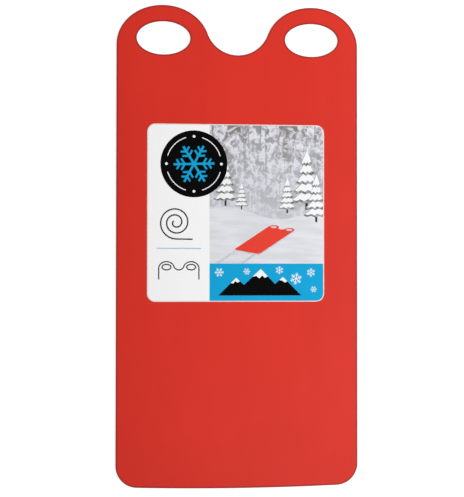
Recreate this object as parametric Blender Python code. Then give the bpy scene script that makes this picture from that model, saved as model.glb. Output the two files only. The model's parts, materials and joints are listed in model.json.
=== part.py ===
"""Roll-up snow sled: a thin sheet of flexible polyethylene with two hand holes, and a label stuck on its top.

The sled lies flat with its label up. The hand holes are towards +Y, the tail towards -Y, and +X is to the right
of someone who looks at the label with the handles at the top. The underside is at Z = 0, and the origin is under
the middle of the sheet.

The real sheet is one piece that bends anywhere along its length. Here it is a row of panels that turn on flex
lines across it, in the middle of its thickness. Every flex line opens into a shallow groove at the top, so that
the sled rolls up from the tail with the label inside, one stretch after another. The nose and each handle can also
curl by themselves.
"""

import math

import bmesh
import bpy
from mathutils import Vector

# The sheet
SHEET_WIDTH = 0.445
SHEET_LENGTH = 0.885
SHEET_THICKNESS = 0.002
TAIL_CORNER_RADIUS = 0.040
TAIL_BOW = 0.0031

# The handles: each is the round lobe about one hand hole
LOBE_HALF_WIDTH = 0.0853
LOBE_HALF_HEIGHT = 0.0730
NOTCH_DEPTH = 0.0905
HOLE_HALF_WIDTH = 0.0490
HOLE_HALF_HEIGHT = 0.0304
GRIP_BAR_WIDTH = 0.0303
SIDE_BAR_WIDTH = 0.0368

# The printed label, stuck a little left of the middle
LABEL_WIDTH = 0.3265
LABEL_HEIGHT = 0.3260
LABEL_THICKNESS = 0.0002
LABEL_CORNER_RADIUS = 0.015
LABEL_DROP = 0.2182
LABEL_SHIFT = 0.003

# The roll that the sheet makes, measured to the middle of its thickness
ROLL_CORE_RADIUS = 0.054
ROLL_TURN_PITCH = 0.007

# The panels and flex lines, counted from the tail. The label runs past its outermost two lines by a share of a panel
PANELS_BEHIND_NOSE = 20
ROOT_PANEL = 17
FIRST_LINE_UNDER_LABEL = 9
LAST_LINE_UNDER_LABEL = 17
LABEL_END_SHARE = 0.2

# The two flex lines across a handle, measured from the middle of its hole in shares of the hole's half height
HANDLE_LINE_SHARES = (-0.35, 0.93)

# Surfaces: the shares of red, green and blue light that each throws back, and how rough and coated it is
RED_SHARES = (0.69, 0.040, 0.024)
SHEET_ROUGHNESS_SHARE = 0.35
PRINT_SHARES = (0.60, 0.67, 0.75)
FILM_ROUGHNESS_SHARE = 0.25
FILM_COAT_SHARE = 0.3

# Gaps between pieces that touch on the real sled, and the length by which a cut runs past what it cuts
TOUCHING_GAP = 0.0003
CUT_OVERRUN = 0.010
ARC_STEPS = 12

# Places worked out from the sizes
TOP_LINE = SHEET_LENGTH / 2
TAIL_LINE = -SHEET_LENGTH / 2
SIDE_LINE = SHEET_WIDTH / 2
MIDDLE_HEIGHT = SHEET_THICKNESS / 2
NOTCH_BOTTOM = TOP_LINE - NOTCH_DEPTH
NOSE_PANEL = PANELS_BEHIND_NOSE + 1
LOBE_CENTRE_X = SIDE_LINE - LOBE_HALF_WIDTH
LOBE_CENTRE_Y = TOP_LINE - LOBE_HALF_HEIGHT
HOLE_CENTRE_X = SIDE_LINE - SIDE_BAR_WIDTH - HOLE_HALF_WIDTH
HOLE_CENTRE_Y = TOP_LINE - GRIP_BAR_WIDTH - HOLE_HALF_HEIGHT
LABEL_UNDERSIDE = SHEET_THICKNESS + TOUCHING_GAP
LABEL_TOP = LABEL_UNDERSIDE + LABEL_THICKNESS
LABEL_HIGH_LINE = TOP_LINE - LABEL_DROP
LABEL_LOW_LINE = LABEL_HIGH_LINE - LABEL_HEIGHT


def flex_line(number):
    """Y of a flex line. Line 1 is the one nearest the tail, and the last two cross the handles.

    The lines are evenly spaced from the tail to the label, along the label, and from there to the notch's bottom,
    which is half a panel past the last line behind the nose.
    """
    label_start = FIRST_LINE_UNDER_LABEL - LABEL_END_SHARE
    label_end = LAST_LINE_UNDER_LABEL + LABEL_END_SHARE
    if number >= NOSE_PANEL:
        return HOLE_CENTRE_Y + HANDLE_LINE_SHARES[number - NOSE_PANEL] * HOLE_HALF_HEIGHT
    if number < label_start:
        return TAIL_LINE + number * (LABEL_LOW_LINE - TAIL_LINE) / label_start
    if number < label_end:
        return LABEL_LOW_LINE + (number - label_start) * LABEL_HEIGHT / (label_end - label_start)
    ahead = PANELS_BEHIND_NOSE + 1 / 2 - label_end
    return LABEL_HIGH_LINE + (number - label_end) * (NOTCH_BOTTOM - LABEL_HIGH_LINE) / ahead


def roll_turn(number):
    """Angle that a flex line turns through when the sled is rolled up, on a spiral that starts at the tail."""
    panel_length = flex_line(number) - flex_line(number - 1)
    radius = math.sqrt(ROLL_CORE_RADIUS**2 + ROLL_TURN_PITCH * (flex_line(number) - TAIL_LINE) / math.pi)
    return 2 * math.asin(panel_length / (2 * radius))


# Half the gap at a flex line, and how fast it widens above the axis, so that the panels' top corners pass
GAP_HALF = TOUCHING_GAP / 2
GROOVE_SLOPE = math.tan(max(roll_turn(number) for number in range(1, NOSE_PANEL + 2)) / 2)


def arc(centre, radii, start, end, steps):
    """Points along a quarter or more of an ellipse, both ends included, with the angles in radians."""
    turns = (start + (end - start) * i / steps for i in range(steps + 1))
    return [(centre[0] + radii[0] * math.cos(a), centre[1] + radii[1] * math.sin(a)) for a in turns]


def notch_tangent():
    """Where the notch's round bottom meets a lobe: the turn round the lobe, and the notch's centre Y and radius."""
    low, high = math.pi / 2, math.pi
    for _ in range(60):
        turn = (low + high) / 2
        point_x = LOBE_CENTRE_X + LOBE_HALF_WIDTH * math.cos(turn)
        point_y = LOBE_CENTRE_Y + LOBE_HALF_HEIGHT * math.sin(turn)
        outward = Vector((math.cos(turn) / LOBE_HALF_WIDTH, math.sin(turn) / LOBE_HALF_HEIGHT)).normalized()
        radius = point_x / -outward.x
        centre_y = point_y + radius * outward.y
        if centre_y - radius > NOTCH_BOTTOM:
            low = turn
        else:
            high = turn
    return turn, centre_y, radius


def right_half_outline():
    """The sheet's edge from the middle of the tail, up the right side and round the lobe to the notch's bottom."""
    half_chord = SIDE_LINE - TAIL_CORNER_RADIUS
    bow_radius = (half_chord**2 + TAIL_BOW**2) / (2 * TAIL_BOW)
    bow_centre = TAIL_LINE + bow_radius
    corner_drop = math.sqrt((bow_radius - TAIL_CORNER_RADIUS) ** 2 - half_chord**2)
    corner = (half_chord, bow_centre - corner_drop)
    lean = math.atan2(half_chord, corner_drop)
    down = -math.pi / 2
    turn, notch_centre, notch_radius = notch_tangent()
    meet = math.atan2(
        LOBE_CENTRE_Y + LOBE_HALF_HEIGHT * math.sin(turn) - notch_centre,
        LOBE_CENTRE_X + LOBE_HALF_WIDTH * math.cos(turn),
    )
    lobe = (LOBE_CENTRE_X, LOBE_CENTRE_Y)
    return (
        arc((0, bow_centre), (bow_radius, bow_radius), down, down + lean, ARC_STEPS // 2)
        + arc(corner, (TAIL_CORNER_RADIUS, TAIL_CORNER_RADIUS), down + lean, 0, ARC_STEPS)[1:]
        + arc(lobe, (LOBE_HALF_WIDTH, LOBE_HALF_HEIGHT), 0, -down, ARC_STEPS)
        + arc(lobe, (LOBE_HALF_WIDTH, LOBE_HALF_HEIGHT), -down, turn, ARC_STEPS)[1:]
        + arc((0, notch_centre), (notch_radius, notch_radius), meet, down, ARC_STEPS)[1:]
    )


def sheet_outline():
    """The whole edge, counterclockwise from the middle of the tail."""
    right = right_half_outline()
    left = [(-x, y) for x, y in reversed(right[1:-1])]
    return right + left


def label_outline():
    """The label's edge, with round corners."""
    middle_y = (LABEL_LOW_LINE + LABEL_HIGH_LINE) / 2
    points = []
    for quarter, (side, end) in enumerate(((1, 1), (-1, 1), (-1, -1), (1, -1))):
        centre = (
            side * (LABEL_WIDTH / 2 - LABEL_CORNER_RADIUS) - LABEL_SHIFT,
            end * (LABEL_HEIGHT / 2 - LABEL_CORNER_RADIUS) + middle_y,
        )
        start = quarter * math.pi / 2
        radii = (LABEL_CORNER_RADIUS, LABEL_CORNER_RADIUS)
        points += arc(centre, radii, start, start + math.pi / 2, ARC_STEPS // 2)
    return points


def add_object(name, mesh_data, origin=(0, 0, 0), parent=None):
    """A new object whose mesh, made in world places, is moved so that the object's origin is the given point."""
    origin = Vector(origin)
    bmesh.ops.translate(mesh_data, verts=mesh_data.verts, vec=-origin)
    bmesh.ops.recalc_face_normals(mesh_data, faces=mesh_data.faces)
    mesh = bpy.data.meshes.new(name)
    mesh_data.to_mesh(mesh)
    mesh_data.free()
    thing = bpy.data.objects.new(name, mesh)
    bpy.context.collection.objects.link(thing)
    thing.parent = parent
    if parent is None:
        thing.location = origin
    return thing


def extruded(corners, along):
    """A solid with the given flat corners as one end, drawn out by a vector."""
    solid = bmesh.new()
    face = solid.faces.new([solid.verts.new(corner) for corner in corners])
    drawn = bmesh.ops.extrude_face_region(solid, geom=[face])
    moved = [item for item in drawn["geom"] if isinstance(item, bmesh.types.BMVert)]
    bmesh.ops.translate(solid, verts=moved, vec=along)
    return solid


def add_blank(name, outline, low, high):
    """A flat blank of the given outline, which only gives its shape to the panels cut from it."""
    corners = [(x, y, low) for x, y in outline]
    return as_guide(add_object(name, extruded(corners, Vector((0, 0, high - low)))))


def as_guide(thing):
    thing.hide_render = True
    thing.display_type = "WIRE"
    return thing


def add_material(name, colour_shares, roughness_share, coat_share):
    """A plastic surface from the shares of red, green and blue light that it throws back."""
    material = bpy.data.materials.new(name)
    material.use_nodes = True
    shader = material.node_tree.nodes["Principled BSDF"]
    shader.inputs["Base Color"].default_value = (*colour_shares, 1)
    shader.inputs["Roughness"].default_value = roughness_share
    shader.inputs["Coat Weight"].default_value = coat_share
    material.diffuse_color = (*colour_shares, 1)
    return material


def add_flex_axis(name, line, middle_x=0, parent=None):
    """An empty on a flex line, at half the sheet's thickness, that carries the panel which turns there."""
    axis = bpy.data.objects.new(name, None)
    axis.empty_display_size = GRIP_BAR_WIDTH / 2
    axis.parent = parent
    axis.location = Vector((middle_x, line, MIDDLE_HEIGHT))
    if parent:
        axis.location -= parent.matrix_world.translation
    bpy.context.collection.objects.link(axis)
    bpy.context.view_layer.update()
    return axis


def add_band(name, blank, holes, lines, span, axis, material):
    """One panel: the blank between two flex lines and two X limits, with sloped groove sides, turning on its axis.

    lines holds the numbers of the flex lines at the tail side and the nose side, or None where the blank ends.
    """
    heights = [-CUT_OVERRUN, MIDDLE_HEIGHT, LABEL_TOP + CUT_OVERRUN]
    section = []
    for number, side, rising in ((lines[0], 1, heights[::-1]), (lines[1], -1, heights)):
        for z in rising:
            groove = GAP_HALF + GROOVE_SLOPE * max(z - MIDDLE_HEIGHT, 0)
            y = -side * (TOP_LINE + CUT_OVERRUN) if number is None else flex_line(number) + side * groove
            section.append((span[0], y, z))
    band = extruded(section, Vector((span[1] - span[0], 0, 0)))
    thing = add_object(name, band, axis.matrix_world.translation, axis)
    thing.data.materials.append(material)
    for cutter, operation in [(blank, "INTERSECT")] + [(hole, "DIFFERENCE") for hole in holes]:
        cut = thing.modifiers.new(cutter.name, "BOOLEAN")
        cut.operation = operation
        cut.object = cutter
        cut.solver = "EXACT"
    return thing


def add_axes():
    """The flex axes of every body, each hung on the axis of the body that carries it, with the root in the middle."""
    axes = {}
    axes[ROOT_PANEL] = add_flex_axis("root_axis", (flex_line(ROOT_PANEL - 1) + flex_line(ROOT_PANEL)) / 2)
    for number in range(ROOT_PANEL - 1, 0, -1):
        axes[number] = add_flex_axis(f"flex_axis_{number:02d}", flex_line(number), parent=axes[number + 1])
    for number in range(ROOT_PANEL + 1, NOSE_PANEL + 1):
        name = f"flex_axis_{number - 1:02d}"
        axes[number] = add_flex_axis(name, flex_line(number - 1), parent=axes[number - 1])
    for side, sign in (("left", -1), ("right", 1)):
        middle = sign * HOLE_CENTRE_X
        base = add_flex_axis(f"{side}_handle_axis", flex_line(NOSE_PANEL), middle, axes[NOSE_PANEL])
        axes[f"{side}_base"] = base
        axes[f"{side}_grip"] = add_flex_axis(f"{side}_grip_axis", flex_line(NOSE_PANEL + 1), middle, base)
    return axes


def panel_name(number):
    names = {1: "tail_panel", NOSE_PANEL: "nose_panel"}
    return names.get(number, f"sheet_panel_{number:02d}")


def add_sheet(axes, material):
    """The sheet's panels from the tail to the nose, then the two handles, each of two side bars and a grip."""
    blank = add_blank("sheet_blank", sheet_outline(), 0, SHEET_THICKNESS)
    holes = {}
    for side, sign in (("left", -1), ("right", 1)):
        centre = (sign * HOLE_CENTRE_X, HOLE_CENTRE_Y)
        edge = arc(centre, (HOLE_HALF_WIDTH, HOLE_HALF_HEIGHT), 0, 2 * math.pi, 4 * ARC_STEPS)[:-1]
        holes[side] = add_blank(f"{side}_hole_cutter", edge, -CUT_OVERRUN, SHEET_THICKNESS + CUT_OVERRUN)
    outer = SIDE_LINE + CUT_OVERRUN
    for number in range(1, NOSE_PANEL + 1):
        lines = (number - 1 or None, number)
        cutters = list(holes.values()) if number == NOSE_PANEL else []
        add_band(panel_name(number), blank, cutters, lines, (-outer, outer), axes[number], material)
    bars = (NOSE_PANEL, NOSE_PANEL + 1)
    grip = (NOSE_PANEL + 1, None)
    for side, sign in (("left", -1), ("right", 1)):
        cutters = [holes[side]]
        base, middle = axes[f"{side}_base"], sign * HOLE_CENTRE_X
        inner_span = sorted((0, middle))
        outer_span = sorted((middle, sign * outer))
        add_band(f"{side}_inner_bar", blank, cutters, bars, inner_span, base, material)
        add_band(f"{side}_outer_bar", blank, cutters, bars, outer_span, base, material)
        add_band(f"{side}_grip", blank, cutters, grip, sorted((0, sign * outer)), axes[f"{side}_grip"], material)


def add_label(axes, material):
    """The label, divided at the same flex lines as the sheet that it is stuck to."""
    blank = add_blank("label_blank", label_outline(), LABEL_UNDERSIDE, LABEL_TOP)
    span = (-SIDE_LINE, SIDE_LINE)
    for number in range(FIRST_LINE_UNDER_LABEL, LAST_LINE_UNDER_LABEL + 2):
        add_band(f"label_panel_{number:02d}", blank, [], (number - 1, number), span, axes[number], material)


def main():
    for thing in list(bpy.data.objects):
        bpy.data.objects.remove(thing, do_unlink=True)
    red = add_material("red_polyethylene", RED_SHARES, SHEET_ROUGHNESS_SHARE, 0)
    print_film = add_material("printed_vinyl", PRINT_SHARES, FILM_ROUGHNESS_SHARE, FILM_COAT_SHARE)
    axes = add_axes()
    add_sheet(axes, red)
    add_label(axes, print_film)


main()
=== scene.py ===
"""Roll-up snow sled: the looks of a thin red polyethylene sheet with two hand holes and a printed film on it.

The frame's panels are covered by pieces of sheet and film. Each piece lies round one flex line, cut into rows, and
meets the next ones at its seams. Lengths are in metres.
"""

import json
import math

import bmesh
import bpy
import numpy as np
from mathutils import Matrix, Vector
from mathutils.geometry import delaunay_2d_cdt


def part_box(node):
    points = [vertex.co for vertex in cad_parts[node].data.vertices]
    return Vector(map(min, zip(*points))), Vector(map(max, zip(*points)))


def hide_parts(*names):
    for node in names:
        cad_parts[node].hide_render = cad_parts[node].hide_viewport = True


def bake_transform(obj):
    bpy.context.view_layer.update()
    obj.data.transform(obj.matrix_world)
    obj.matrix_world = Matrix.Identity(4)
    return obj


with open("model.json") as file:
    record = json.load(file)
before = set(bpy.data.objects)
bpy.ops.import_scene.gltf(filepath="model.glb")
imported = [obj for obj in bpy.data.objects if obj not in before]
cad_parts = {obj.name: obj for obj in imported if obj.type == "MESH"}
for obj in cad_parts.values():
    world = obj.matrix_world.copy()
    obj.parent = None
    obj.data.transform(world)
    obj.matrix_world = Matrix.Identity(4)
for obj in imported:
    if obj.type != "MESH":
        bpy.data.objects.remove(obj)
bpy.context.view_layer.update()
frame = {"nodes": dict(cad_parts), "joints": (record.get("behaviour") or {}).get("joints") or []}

bl_info = {
    "name": "Roll-up snow sled",
    "version": (1, 0, 0),
    "blender": (4, 5, 0),
    "location": "3D View > Sidebar > Sled",
    "description": "Makes the sled's sheet, its handles, its printed label and a studio stage",
    "category": "Object",
}

# The frame's boxes and flex lines. The first flex line is nearest the tail, and the last two cross the handles.
PANEL_LOW, PANEL_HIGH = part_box("sheet_panel_10")
TAIL_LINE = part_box("tail_panel")[0].y
TOP_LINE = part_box("left_grip")[1].y
LABEL_BOXES = [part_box(name) for name in frame["nodes"] if name.startswith("label")]
LABEL_LOW = Vector([min(low[axis] for low, _ in LABEL_BOXES) for axis in range(3)])
LABEL_HIGH = Vector([max(high[axis] for _, high in LABEL_BOXES) for axis in range(3)])
LABEL_WIDTH, LABEL_HEIGHT = LABEL_HIGH.x - LABEL_LOW.x, LABEL_HIGH.y - LABEL_LOW.y
FLEX_LINES = sorted({round(joint["pos_m"][1], 6) for joint in frame["joints"]})
NOSE_PANEL = len(FLEX_LINES) - 1

# How far behind the middle of its panel the seam at the notch lies
NOTCH_STRIP = 0.0015

# Rows that a panel is cut into so that it can bend, and the length of the narrow ones at its seams
ROWS_A_PANEL = 16
SEAM_ROW = 0.0003

# The thin tongue by which each piece reaches into the next one, and how far it is sunk at its end
TONGUE = 0.0024
TONGUE_SINK = 0.00012

# Straight steps along the arcs of the sheet's edge
TAIL_STEPS, CORNER_STEPS, OUTER_LOBE_STEPS, INNER_LOBE_STEPS, NOTCH_STEPS, HOLE_STEPS = 24, 24, 40, 36, 28, 112

# The rounded edge: the turns of its section in degrees, and the strip inside it where the painted shade along the
# rim fades out
EDGE_TURNS = (0, 22.5, 45, 67.5, 90)
RIM_STRIP, RIM_MIDDLE, RIM_FADE = 0.0042, 0.0022, 0.0026

# How far up a face has to look to lie on the sheet's face and not on its edge, and to be flat, and the turn between
# two faces past which the edge between them is hard
FACE_UP, FLAT_UP, HARD_TURN = 0.85, 0.9999, math.radians(50)

# The gap under the film, so that its faces never meet the sheet's
FILM_GAP = 0.00002

# Distances within which two points count as one: at a cut, at a row, in the plate and in the print
CUT_NEAR, ROW_NEAR, PLATE_NEAR, PRINT_NEAR = 1e-7, 1e-6, 1e-8, 2e-6

# The disc's radius and the widths of the printed lines, in metres
DISC_RADIUS, RULE_WIDTH, RING_WIDTH, HANDLES_WIDTH, SPIRAL_WIDTH = 0.0615, 0.0012, 0.0016, 0.0022, 0.0026

# The print's layout, in shares of the label's width and height from its bottom left corner. A fir has its foot and
# its height, and a flake its place and its radius in metres.
PICTURE_LEFT, BAND_TOP, MIST_FOOT = 0.35, 0.215, 0.45
FIRS = ((0.90, 0.52, 0.34), (0.44, 0.54, 0.26), (0.79, 0.50, 0.20), (0.53, 0.52, 0.15), (0.955, 0.45, 0.27))
SLED_PLACE, SPIRAL_PLACE, HANDLES_PLACE, DISC_PLACE = (0.665, 0.352), (0.160, 0.445), (0.178, 0.225), (0.262, 0.775)
RULE = ((0.055, 0.300), (0.300, 0.300))
RIDGE = ((0.40, 0.035), (0.50, 0.135), (0.545, 0.095), (0.64, 0.185), (0.72, 0.100), (0.765, 0.140), (0.87, 0.035))
SNOW_CAPS = (
    ((0.47, 0.105), (0.50, 0.135), (0.522, 0.115), (0.507, 0.108), (0.495, 0.116), (0.485, 0.103)),
    ((0.593, 0.141), (0.64, 0.185), (0.679, 0.144), (0.663, 0.134), (0.647, 0.148), (0.632, 0.131), (0.615, 0.145)),
    ((0.745, 0.122), (0.765, 0.140), (0.790, 0.115), (0.775, 0.108), (0.762, 0.119)),
)
SMALL_FLAKES = (
    (0.405, 0.165, 0.0085), (0.56, 0.170, 0.0065), (0.745, 0.178, 0.0075),
    (0.84, 0.130, 0.0110), (0.925, 0.165, 0.0080), (0.94, 0.070, 0.0060),
)

# The undersides of a fir's bough and of the snow on it, in shares of the bough's half width and the fir's height
BOUGH_FRINGE = ((-1, 0.02), (-0.7, -0.012), (-0.42, 0.012), (-0.1, -0.02), (0.22, 0.008), (0.55, -0.015), (1, 0.02))
SNOW_FRINGE = (
    (-0.86, 0.045), (-0.62, 0.028), (-0.40, 0.055), (-0.14, 0.022),
    (0.10, 0.058), (0.34, 0.030), (0.62, 0.060), (0.80, 0.050),
)

# The soft lamps: name, place, side, and share of the key light's power
LAMPS = (
    ("key_softbox", (2.3, -0.1, 1.8), 1.4, 1.0),
    ("fill_softbox", (0.5, 2.4, 1.6), 1.8, 0.19),
    ("tail_softbox", (0.42, -0.97, 1.9), 0.8, 0.036),
)

# How far the floor goes each way, and how far under the sled it lies, so that their faces never meet
FLOOR_REACH, FLOOR_DROP = 8, 0.0004

# Sockets of a node that mixes two colours: the share of the second one, the first and the second
SHARE, FIRST, SECOND = 0, 6, 7


def linear(code):
    """An sRGB hex colour as linear red, green and blue."""
    shares = [int(code[i : i + 2], 16) / 255 for i in (1, 3, 5)]
    return tuple(c / 12.92 if c <= 0.04045 else ((c + 0.055) / 1.055) ** 2.4 for c in shares)


def length(name, default, description):
    """A size that the user can change."""
    return bpy.props.FloatProperty(name=name, description=description, default=default, min=0, unit="LENGTH")


def colour(name, code, description):
    """A colour that the user can change, from its sRGB hex code."""
    return bpy.props.FloatVectorProperty(
        name=name, description=description, default=linear(code), min=0, max=1, subtype="COLOR"
    )


def amount(name, default, description, unit="NONE"):
    """Another number that the user can change."""
    return bpy.props.FloatProperty(name=name, description=description, default=default, min=0, unit=unit)


class SledSizes(bpy.types.PropertyGroup):
    """Sizes of the sheet, its handles and its label"""

    width: length("Width", PANEL_HIGH.x - PANEL_LOW.x, "Across the sheet")
    thickness: length("Thickness", PANEL_HIGH.z - PANEL_LOW.z, "Of the polyethylene sheet")
    edge_round: length("Edge rounding", 0.0008, "Radius along the die-cut edge")
    corner: length("Tail corners", 0.040, "Radius of the two tail corners")
    bow: length("Tail bow", 0.0031, "How far the tail edge bows out in the middle")
    lobe_x: length("Handle half width", 0.0853, "From the middle of a handle's round to its side")
    lobe_y: length("Handle half height", 0.0730, "From the middle of a handle's round to its top")
    notch: length("Notch depth", 0.0905, "From the handles' tops to the bottom of the notch")
    hole_x: length("Hole half width", 0.0490, "Half of a hand hole's width")
    hole_y: length("Hole half height", 0.0304, "Half of a hand hole's height")
    grip_bar: length("Grip bar", 0.0303, "From a hand hole to the handle's top")
    side_bar: length("Side bar", 0.0368, "From a hand hole to the sheet's side")
    film: length("Label film", 0.0002, "Thickness of the printed film")
    label_corner: length("Label corners", 0.015, "Radius of the label's corners")
    label_border: length("Label border", 0.0018, "Bare film left round the print")


class SledColours(bpy.types.PropertyGroup):
    """Colours of the sheet and of the label's inks"""

    sheet: colour("Sheet", "#D52A1A", "Red of the polyethylene")
    # Darker red at the cut: partly the cut's own colour, partly painted shade of the rounded edge, also spread onto
    # the sheet's face near it
    cut_edge_and_shade: colour("Cut edge", "#9A241B", "Red along the die-cut edge")
    film: colour("Bare film", "#E8DCDA", "Film left bare round the print")
    column: colour("Pale ink", "#FAFAFA", "Print of the pale column")
    band: colour("Blue ink", "#00A3D7", "Print of the band and the rules")
    black: colour("Black ink", "#030303", "Print of the disc and the ridge")
    line: colour("Dark line ink", "#2A2A2C", "Print of the small line drawings")
    snow: colour("Snow ink", "#DEDFE4", "Print of the snow in the picture")
    wood: colour("Winter wood ink", "#B3AFB8", "Print of the wood in the distance")
    fir: colour("Fir ink", "#6E6F67", "Print of the fir trees")
    accent: colour("Red ink", "#E8402F", "Print of the small sled")


class StageSettings(bpy.types.PropertyGroup):
    """Light, floor and camera"""

    floor: colour("Floor", "#A8A8A8", "Colour of the studio floor")
    glow: amount("Floor glow", 0.75, "Light from the floor itself")
    world: amount("Room light", 0.24, "Strength of the even light")
    backdrop: amount("Backdrop", 0.86, "Paleness past the floor")
    key: amount("Key light", 89, "Power of the large light", "POWER")
    lens: amount("Lens", 85, "Focal length of the camera", "CAMERA")
    eye: bpy.props.FloatVectorProperty(
        name="Camera place", description="Over the sled", default=(-0.2009, -0.0429, 2.1472), subtype="TRANSLATION"
    )
    tilt: bpy.props.FloatVectorProperty(
        name="Camera tilt",
        description="From straight down",
        default=(math.radians(1.03), math.radians(-5.07), math.radians(0.05)),
        subtype="EULER",
    )


def add_node(tree, kind, inputs=None, **settings):
    """A node with its settings, values and links. A node given as a value stands for its first output in use."""
    made = tree.nodes.new(kind)
    for name, value in settings.items():
        setattr(made, name, value)
    for socket, value in (inputs or {}).items():
        if isinstance(value, bpy.types.Node):
            value = next(output for output in value.outputs if output.enabled)
        if isinstance(value, bpy.types.NodeSocket):
            tree.links.new(value, made.inputs[socket])
        else:
            made.inputs[socket].default_value = value
    return made


def new_material(name):
    """A new material whose node tree is still empty."""
    material = bpy.data.materials.new(name)
    material.use_nodes = True
    material.node_tree.nodes.clear()
    return material


def shade(tone, share=1.0):
    """A colour times a share, with the fourth number that a socket takes."""
    return (*(part * share for part in tone), 1)


def grains(tree, across, along, detail=2.0, rough=0.5, swirl=0.0, shift=(0, 0)):
    """Even noise on the flat sled, whose grains have the given real size, shifted by a number of grains."""
    place = add_node(tree, "ShaderNodeUVMap", uv_map="flat")
    sized = {"Vector": place, "Location": (*shift, 0), "Scale": (1 / across, 1 / along, 1)}
    sockets = {"Scale": 1.0, "Detail": detail, "Roughness": rough, "Distortion": swirl}
    sockets["Vector"] = add_node(tree, "ShaderNodeMapping", sized)
    return add_node(tree, "ShaderNodeTexNoise", sockets, noise_dimensions="2D")


def patches(tree, across, along, low, high, most=1.0, **looks):
    """The same noise with more contrast: 0 where it is below low, rising to most where it is above high."""
    sockets = {"Value": grains(tree, across, along, **looks), "From Min": low, "From Max": high, "To Max": most}
    return add_node(tree, "ShaderNodeMapRange", sockets)


def red_polyethylene(colours):
    """Extruded low-density polyethylene sheet: satin, with a leathery grain and faint long streaks, and painted
    light and shade in soft blotches.
    """
    material = new_material("extruded_red_polyethylene")
    tree, red = material.node_tree, colours.sheet
    # Painted light and shade: soft blotches of lighter and darker red, a few tenths of a metre wide, shifted so that
    # the darker ones lie towards the bottom left
    painted_shade_blotches = patches(tree, 0.30, 0.40, 0.3, 0.7, detail=3.0, shift=(24.625, 8.727))
    painted_shade_mix = {SHARE: painted_shade_blotches, FIRST: shade(red, 0.945), SECOND: shade(red, 1.055)}
    streaks = patches(tree, 0.030, 0.60, 0.3, 0.7)
    streaky = {SHARE: streaks, FIRST: shade(red, 0.80), SECOND: shade(red, 1.20)}
    body = {
        SHARE: 0.03,
        FIRST: add_node(tree, "ShaderNodeMix", painted_shade_mix, data_type="RGBA"),
        SECOND: add_node(tree, "ShaderNodeMix", streaky, data_type="RGBA"),
    }
    # Towards the cut the flat top face darkens to the edge's red: painted shade of the rounded edge, spread a few
    # millimetres onto the face
    rim = add_node(tree, "ShaderNodeAttribute", attribute_name="rim").outputs["Fac"]
    edged = {
        SHARE: add_node(tree, "ShaderNodeMapRange", {"Value": rim, "To Max": 0.9}),
        FIRST: add_node(tree, "ShaderNodeMix", body, data_type="RGBA"),
        SECOND: shade(colours.cut_edge_and_shade),
    }
    # Slow waves a few centimetres long, from the sheet having been rolled up
    waves = {"Height": grains(tree, 0.045, 0.060, detail=1.0), "Strength": 0.35, "Distance": 0.0010}
    # The calender leaves a leathery grain under a millimetre wide, drawn at 1.6 mm so that it shows
    grain = {"Height": grains(tree, 0.0016, 0.0016), "Strength": 0.30, "Distance": 0.00012}
    grain["Normal"] = add_node(tree, "ShaderNodeBump", waves)
    surface = {
        "Base Color": add_node(tree, "ShaderNodeMix", edged, data_type="RGBA"),
        "Roughness": add_node(tree, "ShaderNodeMapRange", {"Value": streaks, "To Min": 0.42, "To Max": 0.45}),
        "Normal": add_node(tree, "ShaderNodeBump", grain),
        "IOR": 1.51,
        "Specular IOR Level": 0.30,
    }
    add_node(tree, "ShaderNodeOutputMaterial", {"Surface": add_node(tree, "ShaderNodeBsdfPrincipled", surface)})
    return material


def die_cut_edge(colours):
    """Die-cut polyethylene: the blade leaves a duller edge with fine marks on it. Its darker red is partly the cut's
    own colour and partly painted shade of the rounded edge.
    """
    material = new_material("die_cut_polyethylene_edge")
    tree, red = material.node_tree, colours.cut_edge_and_shade
    # The blade's marks are a few tenths of a millimetre wide, drawn at 1.2 mm so that they show
    marks = patches(tree, 0.0012, 0.0012, 0.3, 0.7)
    marked = {SHARE: marks, FIRST: shade(red, 0.85), SECOND: shade(red, 1.15)}
    surface = {
        "Base Color": add_node(tree, "ShaderNodeMix", marked, data_type="RGBA"),
        "Roughness": add_node(tree, "ShaderNodeMapRange", {"Value": marks, "To Min": 0.50, "To Max": 0.62}),
        "IOR": 1.51,
    }
    add_node(tree, "ShaderNodeOutputMaterial", {"Surface": add_node(tree, "ShaderNodeBsdfPrincipled", surface)})
    return material


def printed_film(name, ink, second=None, dot=0.0008, roughness=0.30, shine=0.3):
    """Ink on vinyl film under a thin clear coat: smooth and a little glossy, with the faint dots of the print."""
    material = new_material(name)
    tree = material.node_tree
    # The press lays dots of about 0.15 mm, drawn at 0.8 mm so that they show
    dots = patches(tree, dot, dot, 0.35, 0.65, detail=1.0)
    dotted = {SHARE: dots, FIRST: shade(ink), SECOND: shade(second) if second else shade(ink, 0.95)}
    matt = {"Value": dots, "To Min": roughness - 0.02, "To Max": roughness + 0.03}
    # Wide shallow ripples, where the film doesn't lie quite flat on the sheet
    ripples = {"Height": grains(tree, 0.03, 0.04, detail=1.0), "Strength": 0.25, "Distance": 0.0006}
    surface = {
        "Base Color": add_node(tree, "ShaderNodeMix", dotted, data_type="RGBA"),
        "Roughness": add_node(tree, "ShaderNodeMapRange", matt),
        "Normal": add_node(tree, "ShaderNodeBump", ripples),
        "IOR": 1.5,
        "Specular IOR Level": shine,
        "Coat Weight": 0.03,
        "Coat Roughness": 0.2,
    }
    add_node(tree, "ShaderNodeOutputMaterial", {"Surface": add_node(tree, "ShaderNodeBsdfPrincipled", surface)})
    return material


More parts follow.
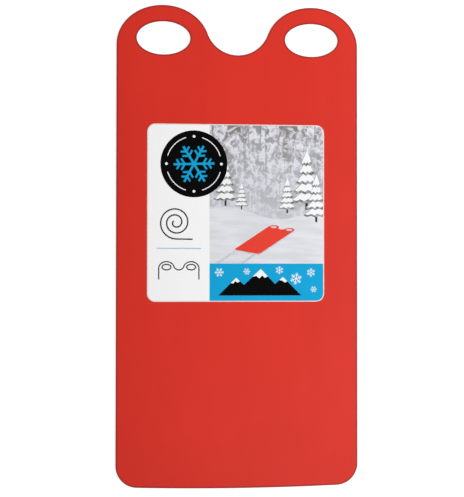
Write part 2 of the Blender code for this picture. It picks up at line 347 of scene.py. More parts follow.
def printed_wood(colours):
    """Coated film with the picture's distance, out of focus: snowy twigs over dark gaps, paler near the ground."""
    material = new_material("printed_winter_wood")
    tree = material.node_tree
    place = add_node(tree, "ShaderNodeUVMap", uv_map="flat")
    height = add_node(tree, "ShaderNodeSeparateXYZ", {"Vector": place}).outputs["Y"]
    foot = LABEL_LOW.y + LABEL_HEIGHT * MIST_FOOT
    mist = {"Value": height, "From Min": LABEL_HIGH.y, "From Max": foot, "To Max": 0.80}
    # Twigs, the gaps between the trees, trunks, boughs and the mist, each over the ones before it
    layers = (
        (patches(tree, 0.011, 0.016, 0.42, 0.58, detail=5.0, rough=0.64, swirl=0.35), "#E2E2EA"),
        (patches(tree, 0.036, 0.050, 0.51, 0.62, 0.85, detail=4.0, rough=0.62, swirl=0.4), "#6F6A61"),
        (patches(tree, 0.0050, 0.140, 0.62, 0.68, 0.50, rough=0.4, swirl=0.2), "#5F5B58"),
        (patches(tree, 0.015, 0.009, 0.54, 0.62, 0.70, detail=4.0, rough=0.62, swirl=0.5), "#ECECF1"),
        (add_node(tree, "ShaderNodeMapRange", mist), "#CFD1D8"),
    )
    tone = shade(colours.wood, 0.66)
    for share, code in layers:
        layered = {SHARE: share, FIRST: tone, SECOND: shade(linear(code))}
        tone = add_node(tree, "ShaderNodeMix", layered, data_type="RGBA")
    surface = {"Base Color": tone, "IOR": 1.5, "Roughness": 0.3, "Coat Weight": 0.15}
    add_node(tree, "ShaderNodeOutputMaterial", {"Surface": add_node(tree, "ShaderNodeBsdfPrincipled", surface)})
    return material


def printed_snow(colours):
    """Coated film with the picture's snow: almost white, with long soft drifts in a cooler grey."""
    material = new_material("printed_snow")
    tree, snow = material.node_tree, colours.snow
    drifts = patches(tree, 0.070, 0.012, 0.35, 0.65, detail=3.0)
    drifted = {SHARE: drifts, FIRST: shade(snow, 0.93), SECOND: shade(snow, 1.05)}
    tone = add_node(tree, "ShaderNodeMix", drifted, data_type="RGBA")
    surface = {"Base Color": tone, "IOR": 1.5, "Roughness": 0.3, "Coat Weight": 0.15}
    add_node(tree, "ShaderNodeOutputMaterial", {"Surface": add_node(tree, "ShaderNodeBsdfPrincipled", surface)})
    return material


def opal_floor(settings):
    """An opal light table: it glows, so that it stays white right up to the sled."""
    material = new_material("opal_light_table")
    tree = material.node_tree
    surface = {
        "Base Color": shade(settings.floor),
        "Roughness": 0.9,
        "Specular IOR Level": 0.1,
        "Emission Color": (1, 1, 1, 1),
        "Emission Strength": settings.glow,
    }
    add_node(tree, "ShaderNodeOutputMaterial", {"Surface": add_node(tree, "ShaderNodeBsdfPrincipled", surface)})
    return material


def sheet_materials(colours):
    """The sheet's faces and its cut edge, made once for the sheet and the handles."""
    found = [bpy.data.materials.get(name) for name in ("extruded_red_polyethylene", "die_cut_polyethylene_edge")]
    return found if all(found) else [red_polyethylene(colours), die_cut_edge(colours)]


def label_inks(colours):
    """The label's materials by the names that the printed shapes use, with the bare film first.

    The firs are mottled in two inks, in tufts 6 mm wide.
    """
    return {
        "film": printed_film("bare_vinyl_film", colours.film),
        "column": printed_film("printed_pale_grey", colours.column),
        "band": printed_film("printed_blue", colours.band),
        "black": printed_film("printed_black", colours.black, roughness=0.28, shine=0.1),
        "line": printed_film("printed_dark_line", colours.line),
        "wood": printed_wood(colours),
        "snow": printed_snow(colours),
        "fir": printed_film("printed_fir", colours.fir, linear("#A9A9AC"), dot=0.006),
        "accent": printed_film("printed_red", colours.accent),
        "white": printed_film("printed_white", linear("#F4F5F7")),
    }


def seam_line(number):
    """Y where the piece at a flex line meets the next one, halfway between their lines.

    The first and the last stand for free ends. The one at the notch is a little behind it, so that it crosses the
    whole sheet.
    """
    if number == 0:
        return 2 * FLEX_LINES[0] - seam_line(1)
    if number == len(FLEX_LINES):
        return 2 * FLEX_LINES[-1] - seam_line(number - 1)
    middle = (FLEX_LINES[number - 1] + FLEX_LINES[number]) / 2
    return middle - NOTCH_STRIP if number == NOSE_PANEL - 1 else middle


def panel_body(number, side=""):
    """The frame's body that carries a panel, or a handle's bars and grip past the nose."""
    names = {1: "tail_panel", NOSE_PANEL: "nose_panel"}
    names |= {NOSE_PANEL + 1: f"{side}_bars", NOSE_PANEL + 2: f"{side}_grip"}
    return names.get(number, f"sheet_panel_{number:02d}")


def bend_with_frame(thing, number, side=""):
    """Bakes a piece's place into its mesh. It works out the piece's seams and the frame's bodies at its flex line,
    but uses neither.
    """
    first, last = seam_line(number - 1), seam_line(number)
    panel_body(number, side)
    panel_body(number + 1, side)
    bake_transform(thing)


def arc(centre, radii, start, end, steps):
    """Points along part of an ellipse, both ends included, with the angles in radians."""
    turns = (start + (end - start) * i / steps for i in range(steps + 1))
    return [(centre[0] + radii[0] * math.cos(a), centre[1] + radii[1] * math.sin(a)) for a in turns]


def circle(centre, radius, steps):
    """Points all the way round, from the right and counterclockwise."""
    return arc(centre, (radius, radius), 0, math.tau, steps)[:-1]


def notch_tangent(size):
    """Where the notch's round bottom meets a handle: the turn round the handle, the notch's centre Y and radius."""
    side, bottom = size.width / 2, TOP_LINE - size.notch
    low, high = math.pi / 2, math.pi
    for _ in range(60):
        turn = (low + high) / 2
        point_x = side - size.lobe_x + size.lobe_x * math.cos(turn)
        point_y = TOP_LINE - size.lobe_y + size.lobe_y * math.sin(turn)
        outward = Vector((math.cos(turn) / size.lobe_x, math.sin(turn) / size.lobe_y)).normalized()
        radius = point_x / -outward.x
        centre_y = point_y + radius * outward.y
        if centre_y - radius > bottom:
            low = turn
        else:
            high = turn
    return turn, centre_y, radius


def sheet_outline(size):
    """The sheet's whole edge, counterclockwise from the middle of the tail."""
    side = size.width / 2
    half_chord = side - size.corner
    bow_radius = (half_chord**2 + size.bow**2) / (2 * size.bow)
    bow_centre = TAIL_LINE + bow_radius
    corner_drop = math.sqrt((bow_radius - size.corner) ** 2 - half_chord**2)
    lean = math.atan2(half_chord, corner_drop)
    down = -math.pi / 2
    turn, notch_centre, notch_radius = notch_tangent(size)
    lobe, lobe_radii = (side - size.lobe_x, TOP_LINE - size.lobe_y), (size.lobe_x, size.lobe_y)
    meet = math.atan2(lobe[1] + size.lobe_y * math.sin(turn) - notch_centre, lobe[0] + size.lobe_x * math.cos(turn))
    right = (
        arc((0, bow_centre), (bow_radius, bow_radius), down, down + lean, TAIL_STEPS)
        + arc((half_chord, bow_centre - corner_drop), (size.corner, size.corner), down + lean, 0, CORNER_STEPS)[1:]
        + arc(lobe, lobe_radii, 0, -down, OUTER_LOBE_STEPS)
        + arc(lobe, lobe_radii, -down, turn, INNER_LOBE_STEPS)[1:]
        + arc((0, notch_centre), (notch_radius, notch_radius), meet, down, NOTCH_STEPS)[1:]
    )
    return right + [(-x, y) for x, y in reversed(right[1:-1])]


def hand_hole(size, sign):
    """A hand hole's edge, clockwise, so that the sheet stays on the left of it."""
    centre = (sign * (size.width / 2 - size.side_bar - size.hole_x), TOP_LINE - size.grip_bar - size.hole_y)
    return arc(centre, (size.hole_x, size.hole_y), 2 * math.pi, 0, HOLE_STEPS)[:-1]


def round_rectangle(low, high, radius, steps):
    """A rectangle with round corners, counterclockwise, with the given steps along each corner."""
    points = []
    middle = ((low[0] + high[0]) / 2, (low[1] + high[1]) / 2)
    corners = ((high[0], high[1]), (low[0], high[1]), (low[0], low[1]), (high[0], low[1]))
    for quarter, (x, y) in enumerate(corners):
        centre = (x - math.copysign(radius, x - middle[0]), y - math.copysign(radius, y - middle[1]))
        points += arc(centre, (radius, radius), quarter * math.pi / 2, (quarter + 1) * math.pi / 2, steps)
    return points


def edge_rings(size):
    """Inset and height of the rings round the plate: from the top face, over the rounded edge, to the underside."""
    r, t = size.edge_round, size.thickness
    turns = [math.radians(a) for a in EDGE_TURNS]
    upper = [(r * (1 - math.sin(a)), t - r * (1 - math.cos(a))) for a in turns]
    lower = [(inset, t - z) for inset, z in reversed(upper)]
    return [(RIM_STRIP, t), (RIM_MIDDLE, t)] + upper + lower + [(RIM_STRIP, 0)]


def loop_normals(points):
    """Unit vectors out of the sheet at each point of an edge, in the plane."""
    ring = np.array(points)
    along = np.roll(ring, -1, 0) - ring
    along /= np.linalg.norm(along, axis=1)[:, None]
    both = along + np.roll(along, 1, 0)
    both /= np.linalg.norm(both, axis=1)[:, None]
    return np.stack([both[:, 1], -both[:, 0]], 1)


def add_edge_wall(plate, rim, points, rings):
    """The plate's rounded wall along one edge. Returns its rings of points from the top face to the underside."""
    normals = loop_normals(points)
    rows = []
    for inset, z in rings:
        row = [plate.verts.new((x - nx * inset, y - ny * inset, z)) for (x, y), (nx, ny) in zip(points, normals)]
        # The rim layer masks the painted shade along the edge: 1 at the edge, fading to 0 a few millimetres in
        for vert in row:
            vert[rim] = min(max((RIM_STRIP - inset) / RIM_FADE, 0), 1)
        rows.append(row)
    for upper, lower in zip(rows, rows[1:]):
        for i in range(len(points)):
            j = (i + 1) % len(points)
            plate.faces.new((upper[i], lower[i], lower[j], upper[j])).smooth = True
    return rows


def add_flat_face(plate, loops, turned_over):
    """The plate's top face or underside, between the outline and the two hand holes."""
    verts, areas = [], []
    for loop in loops:
        areas.append(list(range(len(verts), len(verts) + len(loop))))
        verts += loop
    # Kind 5 keeps what lies between the outline and the holes
    found = delaunay_2d_cdt([Vector(vert.co.xy) for vert in verts], [], areas, 5, PLATE_NEAR)
    for corners in found[2]:
        ring = [verts[found[3][corner][0]] for corner in corners]
        plate.faces.new(reversed(ring) if turned_over else ring).smooth = True


def make_plate(size):
    """The sheet as a closed plate with rounded edges. Its rim layer, the mask of the painted shade along the edge,
    fades from 1 at the edge to 0 further in.
    """
    plate = bmesh.new()
    rim = plate.verts.layers.float.new("rim")
    loops = [sheet_outline(size), hand_hole(size, -1), hand_hole(size, 1)]
    walls = [add_edge_wall(plate, rim, points, edge_rings(size)) for points in loops]
    add_flat_face(plate, [rows[0] for rows in walls], False)
    add_flat_face(plate, [rows[-1] for rows in walls], True)
    plate.normal_update()
    return plate


def cut_off(solid, point, normal):
    """Takes away what lies past a plane and leaves the cut open."""
    everything = solid.verts[:] + solid.edges[:] + solid.faces[:]
    bmesh.ops.bisect_plane(solid, geom=everything, dist=CUT_NEAR, plane_co=point, plane_no=normal, clear_outer=True)


def close_cuts(solid):
    """Closes the open cuts with flat faces."""
    open_edges = [edge for edge in solid.edges if edge.is_boundary]
    for face in bmesh.ops.edgeloop_fill(solid, edges=open_edges)["faces"]:
        face.smooth = False


def bent_rows(solid, low, high):
    """Cuts a piece into rows that can bend, with narrow ones at its seams, so that the slope shows right there."""
    count = round((high - low) / (FLEX_LINES[1] - FLEX_LINES[0]) * ROWS_A_PANEL)
    rows = [low + (high - low) * i / count for i in range(1, count)]
    for y in [low + SEAM_ROW] + rows + [high - SEAM_ROW, high]:
        everything = solid.verts[:] + solid.edges[:] + solid.faces[:]
        bmesh.ops.bisect_plane(solid, geom=everything, dist=ROW_NEAR, plane_co=(0, y, 0), plane_no=(0, 1, 0))


def sink_tongue(solid, seam):
    """Thins a piece past its seam. This tongue lies inside the next piece and shows only where a bend parts them."""
    solid.normal_update()
    past = [(vert, vert.normal.copy()) for vert in solid.verts if vert.co.y > seam + ROW_NEAR]
    for vert, normal in past:
        sink = TONGUE_SINK * (vert.co.y - seam) / TONGUE
        vert.co -= Vector((normal.x * sink, 0, normal.z * sink))


def piece_of(plate, number, side=""):
    """The part of the plate round one flex line, for the whole width or for one handle."""
    solid = plate.copy()
    low = seam_line(number - 1) if number > 1 else TAIL_LINE
    high = seam_line(number) if number <= NOSE_PANEL else TOP_LINE
    if side:
        # The cut along the middle is closed first, so that it and the seam's cut don't become one crooked face
        cut_off(solid, (0, 0, 0), (1, 0, 0) if side == "left" else (-1, 0, 0))
        close_cuts(solid)
    if number > 1:
        cut_off(solid, (0, low, 0), (0, -1, 0))
    if number <= NOSE_PANEL:
        cut_off(solid, (0, high + TONGUE, 0), (0, 1, 0))
    bent_rows(solid, low, high)
    sink_tongue(solid, high)
    close_cuts(solid)
    # The faces of the rounded edge get the second material
    for face in solid.faces:
        face.material_index = 1 if face.smooth and abs(face.normal.z) < FACE_UP else 0
    return solid


def finished(solid, name, materials):
    """A piece's object from its solid, with its place on the flat sled as a UV map and hard edges at flat faces."""
    solid.normal_update()
    flat = {face for face in solid.faces if abs(face.normal.z) > FLAT_UP or not face.smooth}
    for edge in solid.edges:
        hard = len(edge.link_faces) == 2 and sum(face in flat for face in edge.link_faces) == 1
        edge.smooth = not (hard or edge.calc_face_angle(0) > HARD_TURN)
    layer = solid.loops.layers.uv.new("flat")
    for face in solid.faces:
        for corner in face.loops:
            corner[layer].uv = corner.vert.co.xy
    mesh = bpy.data.meshes.new(name)
    solid.to_mesh(mesh)
    solid.free()
    for material in materials:
        mesh.materials.append(material)
    thing = bpy.data.objects.new(name, mesh)
    bpy.context.scene.collection.objects.link(thing)
    return thing


class SLED_OT_sheet(bpy.types.Operator):
    """Makes the sheet from the tail to the notch, in pieces cut at the frame's flex lines"""

    bl_idname = "sled.sheet"
    bl_label = "Sheet"

    def execute(self, context):
        materials = sheet_materials(context.scene.sled_colours)
        plate = make_plate(context.scene.sled_sizes)
        for number in range(1, NOSE_PANEL):
            thing = finished(piece_of(plate, number), f"sheet_{number:02d}", materials)
            bend_with_frame(thing, number)
            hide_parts(panel_body(number))
            if number == NOSE_PANEL - 1:
                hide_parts(panel_body(NOSE_PANEL))
        plate.free()
        return {"FINISHED"}


class SLED_OT_handles(bpy.types.Operator):
    """Makes the two handles round their hand holes, each in two pieces"""

    bl_idname = "sled.handles"
    bl_label = "Handles"

    def execute(self, context):
        materials = sheet_materials(context.scene.sled_colours)
        plate = make_plate(context.scene.sled_sizes)
        for side in ("left", "right"):
            for number, name, nodes in (
                (NOSE_PANEL, f"{side}_handle_bars", (f"{side}_inner_bar", f"{side}_outer_bar")),
                (NOSE_PANEL + 1, f"{side}_handle_grip", (f"{side}_grip",)),
            ):
                thing = finished(piece_of(plate, number, side), name, materials)
                bend_with_frame(thing, number, side)
                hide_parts(*nodes)
        plate.free()
        return {"FINISHED"}


def inside(point, polygon):
    """Whether a point lies inside a polygon, by counting the edges to its right."""
    x, y = point
    within = False
    for (x0, y0), (x1, y1) in zip(polygon, polygon[1:] + polygon[:1]):
        if (y0 > y) != (y1 > y) and x < x0 + (y - y0) * (x1 - x0) / (y1 - y0):
            within = not within
    return within


def thick_line(points, width, closed=False):
    """A printed line of the given width as one polygon for each of its runs."""
    shapes = []
    for (x0, y0), (x1, y1) in zip(points, points[1:] + (points[:1] if closed else [])):
        reach = math.hypot(x1 - x0, y1 - y0)
        ux, uy = (x1 - x0) / reach * width / 2, (y1 - y0) / reach * width / 2
        start = [(x0 - ux + uy, y0 - uy - ux), (x0 - ux - uy, y0 - uy + ux)]
        end = [(x1 + ux + uy, y1 + uy - ux), (x1 + ux - uy, y1 + uy + ux)]
        shapes.append([start[0], end[0], end[1], start[1]])
    return shapes


def flake_tree():
    """Nodes that turn one arm into snowflakes: six arms round a middle, on each point of the mesh that is given."""
    tree = bpy.data.node_groups.new("snowflake_print", "GeometryNodeTree")
    kinds = {"Geometry": "Geometry", "Arm": "Object", "Arms": "Int", "Smallest": "Float", "Ink": "Material"}
    for name, kind in kinds.items():
        tree.interface.new_socket(name, in_out="INPUT", socket_type=f"NodeSocket{kind}")
    tree.interface.new_socket("Geometry", in_out="OUTPUT", socket_type="NodeSocketGeometry")
    given = add_node(tree, "NodeGroupInput").outputs
    arm = add_node(tree, "GeometryNodeObjectInfo", {"Object": given["Arm"]}).outputs["Geometry"]
    spokes = add_node(tree, "GeometryNodeMeshCircle", {"Vertices": given["Arms"], "Radius": 0.0})
    index = add_node(tree, "GeometryNodeInputIndex")
    step = add_node(tree, "ShaderNodeMath", {0: math.tau, 1: given["Arms"]}, operation="DIVIDE")
    angle = add_node(tree, "ShaderNodeMath", {0: index, 1: step}, operation="MULTIPLY")
    turn = add_node(tree, "ShaderNodeCombineXYZ", {"Z": angle})
    flake = add_node(tree, "GeometryNodeInstanceOnPoints", {"Points": spokes, "Instance": arm, "Rotation": turn})
    size = add_node(tree, "GeometryNodeInputNamedAttribute", {"Name": "size"}, data_type="FLOAT")
    turns = {"Min": (0, 0, 0), "Max": (0, 0, math.radians(30)), "Seed": 5}
    lean = add_node(tree, "FunctionNodeRandomValue", turns, data_type="FLOAT_VECTOR")
    grown = add_node(tree, "ShaderNodeMath", {0: size, 1: given["Smallest"]}, operation="MAXIMUM")
    each = {"Points": given["Geometry"], "Instance": flake, "Rotation": lean, "Scale": grown}
    placed = add_node(tree, "GeometryNodeInstanceOnPoints", each)
    real = add_node(tree, "GeometryNodeRealizeInstances", {"Geometry": placed})
    inked = add_node(tree, "GeometryNodeSetMaterial", {"Geometry": real, "Material": given["Ink"]})
    add_node(tree, "NodeGroupOutput", {"Geometry": inked})
    return tree


def flake_arm():
    """One arm of a snowflake, a metre long, with two pairs of twigs."""
    half, twig_share = 0.055, 0.85
    rays = thick_line([(0, 0), (1 - half, 0)], 2 * half)
    for reach, twig in ((0.45, 0.24), (0.70, 0.20)):
        for sign in (-1, 1):
            rays += thick_line([(reach, 0), (reach + twig * 0.6, sign * twig)], 2 * half * twig_share)
    mesh = bpy.data.meshes.new("snowflake_arm")
    corners = [(x, y, 0) for ray in rays for x, y in ray]
    mesh.from_pydata(corners, [], [tuple(range(4 * i, 4 * i + 4)) for i in range(len(rays))])
    return mesh


def snowflakes(places, ink):
    """The printed snowflakes as polygons. Each place is an x, a y and a radius."""
    mesh = bpy.data.meshes.new("snowflake_places")
    mesh.from_pydata([(x, y, 0) for x, y, _ in places], [], [])
    mesh.attributes.new("size", "FLOAT", "POINT").data.foreach_set("value", [radius for _, _, radius in places])
    arm_mesh = flake_arm()
    arm, holder = bpy.data.objects.new("snowflake_arm", arm_mesh), bpy.data.objects.new("snowflake_places", mesh)
    for thing in (arm, holder):
        bpy.context.scene.collection.objects.link(thing)
    modifier = holder.modifiers.new("print", "NODES")
    modifier.node_group = flake_tree()
    sockets = {s.name: s.identifier for s in modifier.node_group.interface.items_tree if s.in_out == "INPUT"}
    for name, value in {"Arm": arm, "Arms": 6, "Smallest": 0.002, "Ink": ink}.items():
        modifier[sockets[name]] = value
    result = bpy.data.meshes.new_from_object(holder.evaluated_get(bpy.context.evaluated_depsgraph_get()))
    shapes = [[tuple(result.vertices[i].co.xy) for i in face.vertices] for face in result.polygons]
    for thing in (holder, arm):
        bpy.data.objects.remove(thing)
    for made in (result, mesh, arm_mesh):
        bpy.data.meshes.remove(made)
    return shapes


def on_label(across, up):
    """A place on the sled from shares of the label's width and height."""
    return (LABEL_LOW.x + across * LABEL_WIDTH, LABEL_LOW.y + up * LABEL_HEIGHT)


def printed(ink, points):
    """A printed shape: its ink, and its polygon from shares of the label's width and height."""
    return (ink, [on_label(*point) for point in points])


def fir_shapes(x, y, height):
    """A snow-laden fir from the side: a trunk, and tiers of boughs with a scalloped bank of snow on each."""
    trunk, stem = 0.022 * height, 0.2 * height
    shapes = [printed("line", [(x - trunk, y), (x + trunk, y), (x + trunk, y + stem), (x - trunk, y + stem)])]
    # Each tier is a little higher and narrower than the one below it
    for tier in range(5):
        base = y + height * (0.12 + 0.155 * tier)
        half = height * (0.27 - 0.043 * tier)
        tip = base + height * 0.26
        for ink, fringe, top in (("fir", BOUGH_FRINGE, (x, tip)), ("white", SNOW_FRINGE, (x + 0.1 * half, tip))):
            shapes.append(printed(ink, [(x + half * u, base + height * v) for u, v in fringe] + [top]))
    return shapes


def small_sled(size):
    """The picture's little sled: this sheet seen aslant on the snow, with its shadow, tracks and hand holes."""
    scale, squeeze, lean, rise, shadow = 0.105, 0.50, 0.75, 0.35, 0.0028
    track, half_track, track_start = 0.17, 0.03, -0.90
    middle = on_label(*SLED_PLACE)

    def aslant(points, down=0.0):
        return [
            (middle[0] + scale * (x + lean * y), middle[1] + scale * squeeze * (y - rise * x) - down)
            for x, y in points
        ]

    shapes = []
    for x in (-track, track):
        left, right = x - half_track, x + half_track
        run = [(left, track_start), (right, track_start), (right, TAIL_LINE), (left, TAIL_LINE)]
        shapes.append(("wood", aslant(run)))
    shapes.append(("wood", aslant(sheet_outline(size), shadow)))
    shapes.append(("accent", aslant(sheet_outline(size))))
    return shapes + [("wood", aslant(hand_hole(size, sign))) for sign in (-1, 1)]


def picture_shapes(size, right, top):
    """The winter picture: a wood behind a snowy rise, with firs and a little sled on it."""
    steps, height, swell = 16, 0.50, 0.035
    wide = right - PICTURE_LEFT
    hill = [(PICTURE_LEFT + wide * i / steps, height + swell * math.sin(i * 0.42 + 0.6)) for i in range(steps + 1)]
    ground = [(PICTURE_LEFT, BAND_TOP), (right, BAND_TOP)]
    shapes = [printed("wood", ground + [(right, top), (PICTURE_LEFT, top)]), printed("snow", ground + hill[::-1])]
    for fir in FIRS:
        shapes += fir_shapes(*fir)
    return shapes + small_sled(size)


def band_shapes(right, bottom):
    """The blue band under the picture, with a dark ridge whose peaks are capped with snow."""
    corners = [(PICTURE_LEFT, bottom), (right, bottom), (right, BAND_TOP), (PICTURE_LEFT, BAND_TOP)]
    return [printed("band", corners), printed("black", RIDGE)] + [printed("white", cap) for cap in SNOW_CAPS]


def disc_shapes(blue):
    """The black disc: a broken white ring with four dots in its gaps, round a blue snowflake."""
    middle, reach, steps, dot, flake = on_label(*DISC_PLACE), 0.82 * DISC_RADIUS, 60, 0.0026, 0.0375
    shapes = [("black", circle(middle, DISC_RADIUS, 72))]
    ring = circle(middle, reach, steps)
    # Each quarter has 15 steps, and a run takes up the middle nine of them
    for first in (3, 18, 33, 48):
        run = [ring[(first + i) % steps] for i in range(10)]
        shapes += [("white", points) for points in thick_line(run, RING_WIDTH)]
    for i in range(4):
        turn = i * math.pi / 2
        spot = (middle[0] + reach * math.cos(turn), middle[1] + reach * math.sin(turn))
        shapes.append(("white", circle(spot, dot, 12)))
    return shapes + [("band", points) for points in snowflakes([(*middle, flake)], blue)]


def drawing_shapes(size):
    """The line drawings in the pale column: the rolled-up sled from its end, a rule, and the handles under it."""
    # The spiral starts nearly half a turn from its middle and has 28 steps a turn
    middle, growth, tail = on_label(*SPIRAL_PLACE), 0.00175, (0.030, -0.0004)
    turns = [math.tau * i / 28 for i in range(12, 78)]
    spiral = [(middle[0] + growth * a * math.cos(a), middle[1] + growth * a * math.sin(a)) for a in turns]
    spiral.append((spiral[-1][0] + tail[0], spiral[-1][1] + tail[1]))
    shapes = [("line", run) for run in thick_line(spiral, SPIRAL_WIDTH)]
    shapes += [("band", run) for run in thick_line([on_label(*end) for end in RULE], RULE_WIDTH)]
    middle, scale, stub, margin = on_label(*HANDLES_PLACE), 0.165, -0.19, 0.001
    head = [(x, y - TOP_LINE) for x, y in sheet_outline(size) if y > TOP_LINE - size.notch - margin]
    head = [(head[0][0], stub)] + head + [(head[-1][0], stub)]
    holes = [[(x, y - TOP_LINE) for x, y in hand_hole(size, sign)] for sign in (-1, 1)]
    for points in (head, *holes):
        drawn = [(middle[0] + scale * x, middle[1] + scale * y) for x, y in points]
        shapes += [("line", run) for run in thick_line(drawn, HANDLES_WIDTH, closed=points is not head)]
    return shapes


def label_shapes(size, inks):
    """What is printed, as ink and polygon, each over the ones before it."""
    border, low, high = size.label_border, LABEL_LOW, LABEL_HIGH
    inner = (low.x + border, low.y + border), (high.x - border, high.y - border)
    bottom, right, top = border / LABEL_HEIGHT, 1 - border / LABEL_WIDTH, 1 - border / LABEL_HEIGHT
    flakes = [(*on_label(across, up), radius) for across, up, radius in SMALL_FLAKES]
    return (
        [("column", round_rectangle(*inner, size.label_corner - border, 6))]
        + picture_shapes(size, right, top)
        + band_shapes(right, bottom)
        + disc_shapes(inks["band"])
        + [("white", points) for points in snowflakes(flakes, inks["white"])]
        + drawing_shapes(size)
    )


def make_film(size, inks):
    """The label as a flat film whose faces carry the inks, before it is cut and given its thickness."""
    outline = round_rectangle(LABEL_LOW, LABEL_HIGH, size.label_corner, 8)
    shapes = label_shapes(size, inks)
    points, edges = [], []
    for ring in [outline] + [polygon for _, polygon in shapes]:
        first = len(points)
        points += [Vector(point) for point in ring]
        edges += [(first + i, first + (i + 1) % len(ring)) for i in range(len(ring))]
    found = delaunay_2d_cdt(points, edges, [], 0, PRINT_NEAR)
    boxes = []
    for _, polygon in shapes:
        across, up = zip(*polygon)
        boxes.append((min(across), max(across), min(up), max(up)))
    order, print_edge = list(inks), shapes[0][1]
    film = bmesh.new()
    verts = [film.verts.new((point.x, point.y, 0)) for point in found[0]]
    for corners in found[2]:
        middle = sum((found[0][corner] for corner in corners), Vector((0, 0))) / len(corners)
        if not inside(middle, outline):
            continue
        ink = 0
        # The last shape that covers a face gives its ink, and past the print's edge the film is bare
        if inside(middle, print_edge):
            for (x0, x1, y0, y1), (name, polygon) in zip(reversed(boxes), reversed(shapes)):
                if x0 <= middle.x <= x1 and y0 <= middle.y <= y1 and inside(middle, polygon):
                    ink = order.index(name)
                    break
        film.faces.new([verts[corner] for corner in corners]).material_index = ink
    bmesh.ops.delete(film, geom=[vert for vert in film.verts if not vert.link_faces], context="VERTS")
    return film


def film_piece(film, number, size):
    """The part of the film round one flex line, cut into rows and given its thickness."""
    solid = film.copy()
    low, high = seam_line(number - 1), seam_line(number)
    cut_off(solid, (0, low, 0), (0, -1, 0))
    cut_off(solid, (0, high + TONGUE, 0), (0, 1, 0))
    bent_rows(solid, low, high)
    bmesh.ops.triangulate(solid, faces=solid.faces[:])
    top = size.thickness + FILM_GAP + size.film
    for vert in solid.verts:
        vert.co.z = top - TONGUE_SINK / 2 * max(vert.co.y - high, 0) / TONGUE
    for face in solid.faces:
        face.smooth = True
    drawn = bmesh.ops.extrude_face_region(solid, geom=solid.faces[:])
    for item in drawn["geom"]:
        if isinstance(item, bmesh.types.BMVert):
            item.co.z -= size.film
    bmesh.ops.recalc_face_normals(solid, faces=solid.faces[:])
    return solid


class SLED_OT_label(bpy.types.Operator):
    """Makes the printed film on the sheet, in pieces cut like the sheet's"""

    bl_idname = "sled.label"
    bl_label = "Label"

    def execute(self, context):
        size = context.scene.sled_sizes
        inks = label_inks(context.scene.sled_colours)
        film = make_film(size, inks)
        numbers = [n for n in range(1, NOSE_PANEL) if seam_line(n) > LABEL_LOW.y and seam_line(n - 1) < LABEL_HIGH.y]
        for number in numbers:
            thing = finished(film_piece(film, number, size), f"label_film_{number:02d}", inks.values())
            bend_with_frame(thing, number)
            nodes = [f"label_panel_{number:02d}"]
            if number == numbers[-1]:
                nodes.append(f"label_panel_{number + 1:02d}")
            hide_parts(*nodes)
        film.free()
        return {"FINISHED"}


def add_floor(settings):
    """The pale floor, just under the sled."""
    corners = [(x * FLOOR_REACH, y * FLOOR_REACH, -FLOOR_DROP) for x, y in ((-1, -1), (1, -1), (1, 1), (-1, 1))]
    mesh = bpy.data.meshes.new("studio_floor")
    mesh.from_pydata(corners, [], [(0, 1, 2, 3)])
    mesh.materials.append(opal_floor(settings))
    floor = bpy.data.objects.new("studio_floor", mesh)
    bpy.context.scene.collection.objects.link(floor)


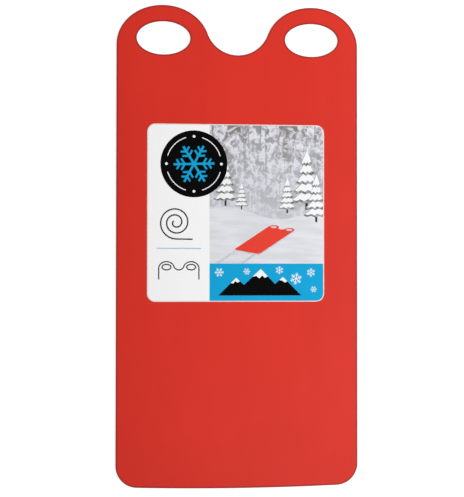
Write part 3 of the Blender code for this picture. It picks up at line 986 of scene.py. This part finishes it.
def light_room(settings):
    """The soft lamps and a low even light, which is as pale as the floor where the camera sees it past the floor."""
    world = bpy.data.worlds.new("studio")
    bpy.context.scene.world = world
    world.use_nodes = True
    tree = world.node_tree
    tree.nodes.clear()
    seen = add_node(tree, "ShaderNodeLightPath").outputs["Is Camera Ray"]
    paleness = {"Value": seen, "To Min": settings.world, "To Max": settings.backdrop}
    room = {"Color": (1, 1, 1, 1), "Strength": add_node(tree, "ShaderNodeMapRange", paleness)}
    add_node(tree, "ShaderNodeOutputWorld", {"Surface": add_node(tree, "ShaderNodeBackground", room)})
    for name, place, side, share in LAMPS:
        light = bpy.data.lights.new(name, "AREA")
        light.size = side
        light.energy = settings.key * share
        lamp = bpy.data.objects.new(name, light)
        lamp.location = place
        lamp.rotation_euler = (-Vector(place)).to_track_quat("-Z", "Y").to_euler()
        bpy.context.scene.collection.objects.link(lamp)


def add_camera(settings):
    """The camera over the sled, at the photograph's viewing angle."""
    camera = bpy.data.cameras.new("camera")
    camera.lens = settings.lens
    camera.sensor_width = 36
    eye = bpy.data.objects.new("camera", camera)
    eye.location = settings.eye
    eye.rotation_euler = settings.tilt
    bpy.context.scene.collection.objects.link(eye)
    bpy.context.scene.camera = eye


class SLED_OT_stage(bpy.types.Operator):
    """Makes the pale floor, the soft studio light and the camera over the sled"""

    bl_idname = "sled.stage"
    bl_label = "Stage"

    def execute(self, context):
        settings = context.scene.sled_stage
        add_floor(settings)
        light_room(settings)
        add_camera(settings)
        context.scene.view_settings.view_transform = "Standard"
        return {"FINISHED"}


class SLED_PT_panel(bpy.types.Panel):
    """Lists what can be made and the sizes and colours it is made with"""

    bl_idname = "SLED_PT_panel"
    bl_label = "Roll-up snow sled"
    bl_space_type = "VIEW_3D"
    bl_region_type = "UI"
    bl_category = "Sled"

    def draw(self, context):
        for group in (context.scene.sled_sizes, context.scene.sled_colours, context.scene.sled_stage):
            box = self.layout.box()
            for name in group.__annotations__:
                box.prop(group, name)
        for operator in OPERATORS:
            self.layout.operator(operator.bl_idname)


OPERATORS = (SLED_OT_sheet, SLED_OT_handles, SLED_OT_label, SLED_OT_stage)
GROUPS = {"sled_sizes": SledSizes, "sled_colours": SledColours, "sled_stage": StageSettings}


def register():
    for thing in (*GROUPS.values(), *OPERATORS, SLED_PT_panel):
        bpy.utils.register_class(thing)
    for name, group in GROUPS.items():
        setattr(bpy.types.Scene, name, bpy.props.PointerProperty(type=group))


def unregister():
    for name in GROUPS:
        delattr(bpy.types.Scene, name)
    for thing in reversed((*GROUPS.values(), *OPERATORS, SLED_PT_panel)):
        bpy.utils.unregister_class(thing)


def main():
    register()
    bpy.ops.sled.sheet()
    bpy.ops.sled.handles()
    bpy.ops.sled.label()
    bpy.ops.sled.stage()


if __name__ == "__main__":
    main()
